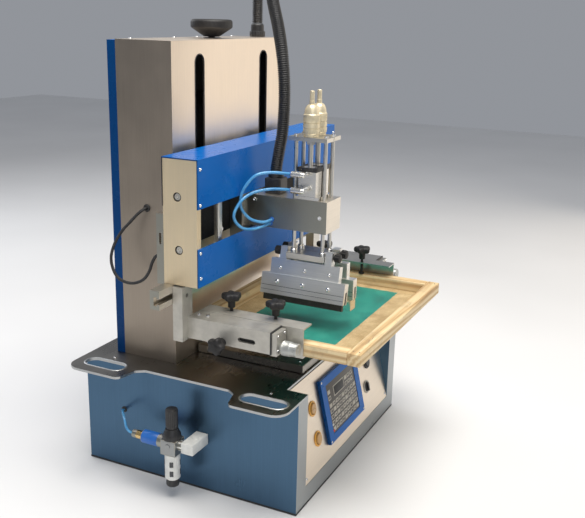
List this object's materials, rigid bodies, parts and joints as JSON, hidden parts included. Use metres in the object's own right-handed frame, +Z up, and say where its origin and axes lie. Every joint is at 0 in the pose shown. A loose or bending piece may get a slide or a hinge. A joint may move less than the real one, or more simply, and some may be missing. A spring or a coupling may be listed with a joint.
{
  "type": "screen printing press",
  "caption": "Table-top pneumatic flat-bed screen printer: a lifting beam carries a traversing squeegee and flood bar over a clamped frame",
  "frame": {"origin": "centre of the cabinet's underside, where the machine rests on its table", "axes": "+Z up; -Y towards the operator, who faces the sloped control panel; +X to the operator's right"},
  "size_m": [0.728, 0.6085, 1.1117],
  "materials": {
    "stainless": "brushed stainless sheet",
    "brushed_base": "brushed stainless sheet",
    "aluminium_part": "machined and clear anodised",
    "steel_part": "ground and polished",
    "blue_paint": "gloss blue",
    "black_plastic": "fine matte",
    "yellow_plastic": "gloss",
    "white_plastic": "gloss",
    "grey_keypad": "membrane keys in a blue frame",
    "black_rubber": "matte",
    "wood": "worn pale wood",
    "mesh": "coated screen mesh",
    "tube": "translucent blue polyurethane"
  },
  "bodies": {
    "machine": {"cabinet_shell": "brushed_base", "front_panel": "brushed_base", "top_plate": "brushed_base", "table_bed": "aluminium_part", "keypad": "grey_keypad", "column_cover": "stainless", "column_back_panel": "blue_paint", "guide_shaft_left": "steel_part", "guide_shaft_right": "steel_part", "lift_cylinder": "aluminium_part", "column_gland": "black_plastic", "air_filter_body": "aluminium_part", "air_filter_bowl": "white_plastic", "supply_tube": "tube", "conduit_fixed": "black_rubber", "sensor_cable": "black_rubber"},
    "handwheel": {"height_handwheel": "black_plastic"},
    "crosshead": {"stop_crosshead": "steel_part"},
    "beam": {"lift_carriage": "steel_part", "beam_end_left": "aluminium_part", "beam_end_right": "aluminium_part", "beam_back_plate": "aluminium_part", "upper_cover": "blue_paint", "lower_cover": "blue_paint", "traverse_rail_upper": "steel_part", "traverse_rail_lower": "steel_part", "traverse_cylinder": "aluminium_part", "clamp_bar": "aluminium_part", "conduit_moving": "black_rubber"},
    "head": {"head_block": "aluminium_part", "head_gland": "black_plastic", "squeegee_cylinder": "aluminium_part", "flood_cylinder": "aluminium_part", "air_tube_upper": "tube", "air_tube_lower": "tube"},
    "squeegee_lifter": {"squeegee_yoke": "aluminium_part"},
    "flood_lifter": {"flood_yoke": "aluminium_part"},
    "squeegee_stroke_adjuster": {"squeegee_thimble": "aluminium_part"},
    "flood_stroke_adjuster": {"flood_thimble": "aluminium_part"},
    "squeegee": {"squeegee_holder": "aluminium_part", "squeegee_blade": "black_rubber"},
    "flood_bar": {"flood_holder": "aluminium_part", "flood_blade": "steel_part"},
    "left_arm": {"left_arm": "aluminium_part"},
    "right_arm": {"right_arm": "aluminium_part"},
    "left_adjuster": {"left_adjuster": "steel_part"},
    "right_adjuster": {"right_adjuster": "steel_part"},
    "left_channel": {"left_channel": "aluminium_part"},
    "right_channel": {"right_channel": "aluminium_part"},
    "left_knob_front": {"left_knob_front": "black_plastic"},
    "left_knob_rear": {"left_knob_rear": "black_plastic"},
    "right_knob_front": {"right_knob_front": "black_plastic"},
    "right_knob_rear": {"right_knob_rear": "black_plastic"},
    "screen": {"screen_frame": "wood", "screen_mesh": "mesh"},
    "regulator_knob": {"regulator_knob": "black_plastic"},
    "start_button": {"start_button": "yellow_plastic"},
    "stop_button": {"stop_button": "yellow_plastic"},
    "power_button": {"power_button": "black_plastic"},
    "mode_switch": {"mode_switch": "black_plastic"}
  },
  "joints": [
    {"name": "handwheel_turn", "type": "hinge", "parent": "machine", "child": "handwheel", "pos_m": [0, 0.107, 0.9], "axis": [0, 0, 1], "range_deg": [-3155, 7205]},
    {"name": "crosshead_travel", "type": "slide", "parent": "machine", "child": "crosshead", "axis": [0, 0, 1], "range_m": [-0.035, 0.08]},
    {"name": "beam_lift", "type": "slide", "parent": "machine", "child": "beam", "axis": [0, 0, 1], "range_m": [-0.055, 0.1], "deforming": ["conduit_fixed", "sensor_cable"]},
    {"name": "head_traverse", "type": "slide", "parent": "beam", "child": "head", "axis": [1, 0, 0], "range_m": [-0.075, 0.2], "deforming": ["conduit_moving"]},
    {"name": "squeegee_lift", "type": "slide", "parent": "head", "child": "squeegee_lifter", "axis": [0, 0, 1], "range_m": [-0.044, 0]},
    {"name": "squeegee_tilt", "type": "hinge", "parent": "squeegee_lifter", "child": "squeegee", "pos_m": [-0.0892, -0.173, 0.474], "axis": [0, 1, 0], "range_deg": [-12, 6]},
    {"name": "squeegee_thimble_turn", "type": "hinge", "parent": "squeegee_lifter", "child": "squeegee_stroke_adjuster", "pos_m": [-0.0892, -0.173, 0.717], "axis": [0, 0, 1], "continuous": true},
    {"name": "flood_lift", "type": "slide", "parent": "head", "child": "flood_lifter", "axis": [0, 0, 1], "range_m": [-0.03, 0]},
    {"name": "flood_tilt", "type": "hinge", "parent": "flood_lifter", "child": "flood_bar", "pos_m": [-0.0542, -0.173, 0.474], "axis": [0, 1, 0], "range_deg": [-10, 5]},
    {"name": "flood_thimble_turn", "type": "hinge", "parent": "flood_lifter", "child": "flood_stroke_adjuster", "pos_m": [-0.0542, -0.173, 0.717], "axis": [0, 0, 1], "continuous": true},
    {"name": "left_arm_slide", "type": "slide", "parent": "beam", "child": "left_arm", "axis": [1, 0, 0], "range_m": [-0.04, 0]},
    {"name": "right_arm_slide", "type": "slide", "parent": "beam", "child": "right_arm", "axis": [1, 0, 0], "range_m": [0, 0.04]},
    {"name": "left_adjuster_turn", "type": "hinge", "parent": "left_arm", "child": "left_adjuster", "pos_m": [-0.2777, -0.2095, 0.347], "axis": [0, 1, 0], "range_deg": [-1810, 1810]},
    {"name": "right_adjuster_turn", "type": "hinge", "parent": "right_arm", "child": "right_adjuster", "pos_m": [0.2777, -0.2095, 0.347], "axis": [0, 1, 0], "range_deg": [-1810, 1810]},
    {"name": "left_channel_slide", "type": "slide", "parent": "left_arm", "child": "left_channel", "axis": [0, 1, 0], "range_m": [-0.0077, 0.0077]},
    {"name": "right_channel_slide", "type": "slide", "parent": "right_arm", "child": "right_channel", "axis": [0, 1, 0], "range_m": [-0.0077, 0.0077]},
    {"name": "screen_shift", "type": "slide", "parent": "beam", "child": "screen", "axis": [0, 1, 0], "range_m": [-0.0075, 0.0075]},
    {"name": "left_knob_front_turn", "type": "hinge", "parent": "left_channel", "child": "left_knob_front", "pos_m": [-0.228, -0.172, 0.3815], "axis": [0, 0, 1], "continuous": true},
    {"name": "left_knob_rear_turn", "type": "hinge", "parent": "left_channel", "child": "left_knob_rear", "pos_m": [-0.228, -0.074, 0.3815], "axis": [0, 0, 1], "continuous": true},
    {"name": "right_knob_front_turn", "type": "hinge", "parent": "right_channel", "child": "right_knob_front", "pos_m": [0.228, -0.172, 0.3815], "axis": [0, 0, 1], "continuous": true},
    {"name": "right_knob_rear_turn", "type": "hinge", "parent": "right_channel", "child": "right_knob_rear", "pos_m": [0.228, -0.074, 0.3815], "axis": [0, 0, 1], "continuous": true},
    {"name": "regulator_turn", "type": "hinge", "parent": "machine", "child": "regulator_knob", "pos_m": [-0.33, 0.003, 0.153], "axis": [0, 0, 1], "continuous": true},
    {"name": "start_press", "type": "slide", "parent": "machine", "child": "start_button", "axis": [0, 0.9747, -0.2236], "range_m": [0, 0.003], "stiffness_N_per_m": 1500, "springref_m": -0.001},
    {"name": "stop_press", "type": "slide", "parent": "machine", "child": "stop_button", "axis": [0, 0.9747, -0.2236], "range_m": [0, 0.003], "stiffness_N_per_m": 1500, "springref_m": -0.001},
    {"name": "power_press", "type": "slide", "parent": "machine", "child": "power_button", "axis": [0, 0.9747, -0.2236], "range_m": [0, 0.003], "stiffness_N_per_m": 1500, "springref_m": -0.001},
    {"name": "mode_turn", "type": "hinge", "parent": "machine", "child": "mode_switch", "pos_m": [0.13, -0.23479, 0.10878], "axis": [0, -0.9747, 0.2236], "range_deg": [0, 90]}
  ],
  "couplings": [
    {"joint": "handwheel_turn", "follows": "crosshead_travel", "rad_per_m": 1570.8},
    {"joint": "left_channel_slide", "follows": "screen_shift", "ratio": 1},
    {"joint": "right_channel_slide", "follows": "screen_shift", "ratio": 1},
    {"joint": "left_adjuster_turn", "follows": "screen_shift", "rad_per_m": 4188.8},
    {"joint": "right_adjuster_turn", "follows": "screen_shift", "rad_per_m": 4188.8}
  ]
}
